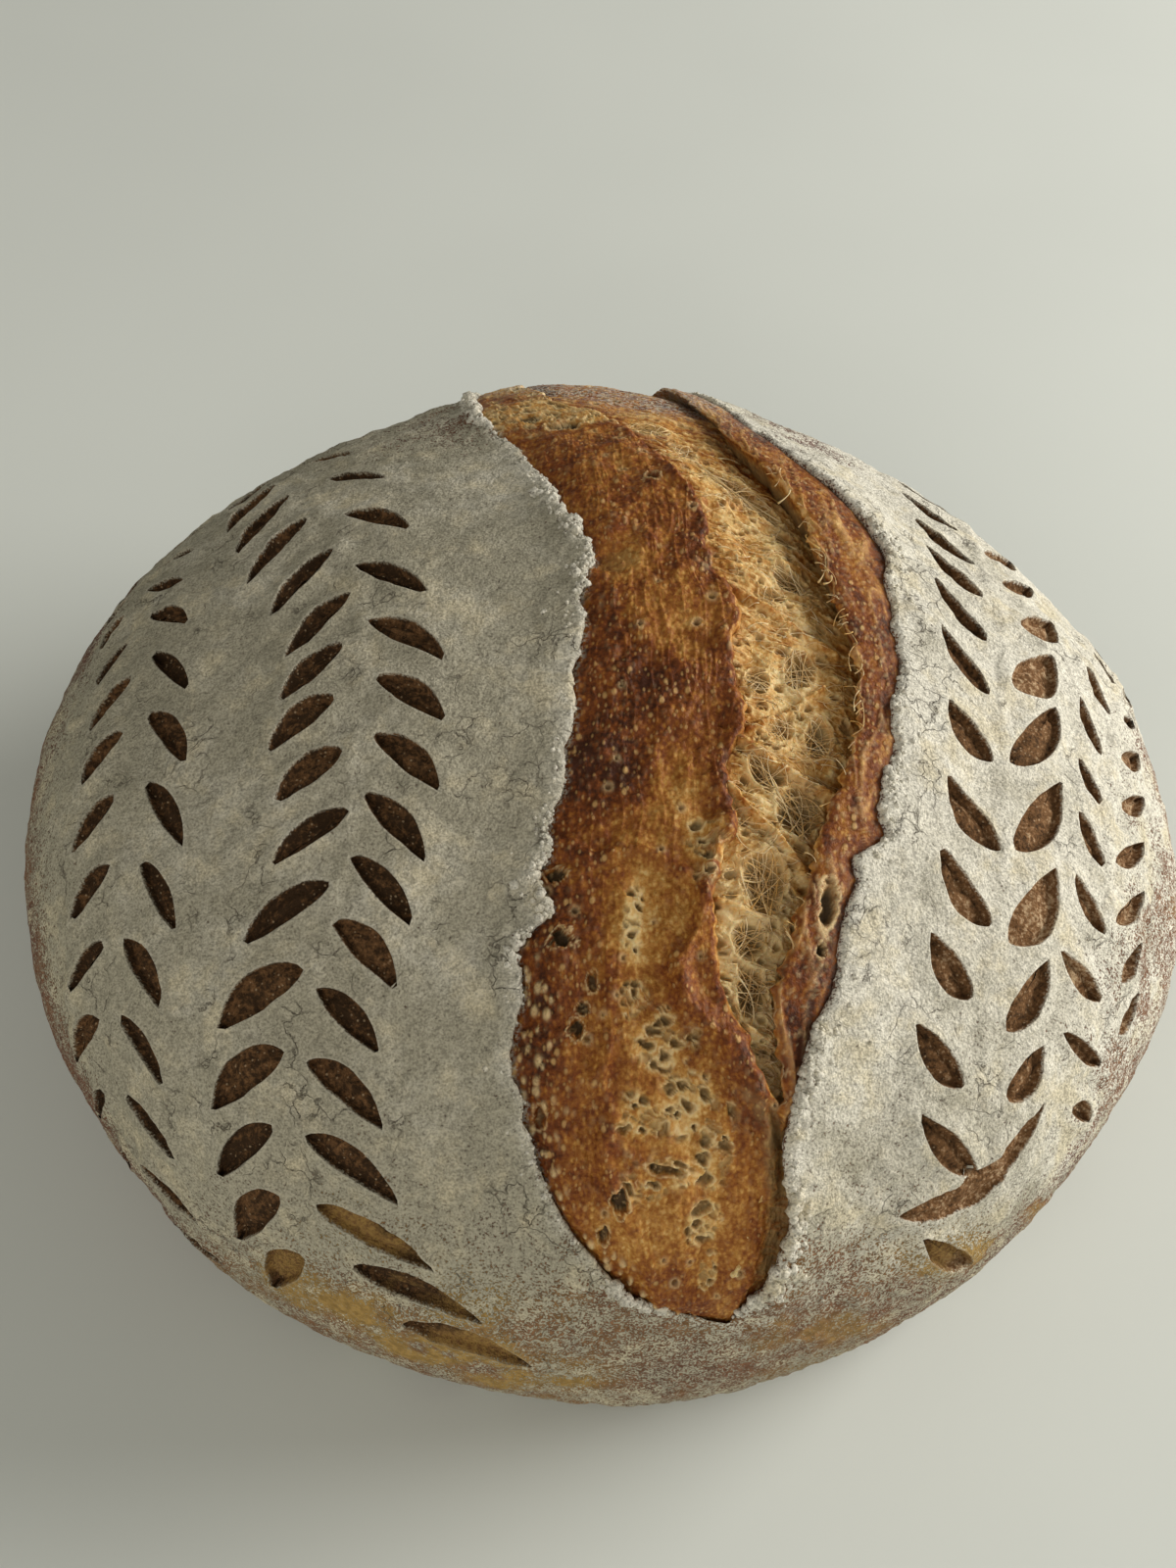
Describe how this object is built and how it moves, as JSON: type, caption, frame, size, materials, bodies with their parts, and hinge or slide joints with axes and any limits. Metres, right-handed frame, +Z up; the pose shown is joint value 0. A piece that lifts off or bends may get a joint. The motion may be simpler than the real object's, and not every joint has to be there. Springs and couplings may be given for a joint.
{
  "type": "sourdough loaf",
  "caption": "Round floured sourdough loaf with a long burst opening, a raised ear and sprigs of scored leaves on both sides.",
  "frame": {"origin": "middle of the flat base on which the loaf rests", "axes": "+Z up, +X to the right of the loaf as seen from its front, +Y from the front tip of the opening to its back tip"},
  "size_m": [0.223, 0.2127, 0.1076],
  "materials": {
    "crust": "matt baked crust dusted with flour"
  },
  "bodies": {
    "root": {"loaf": "crust"}
  },
  "joints": []
}
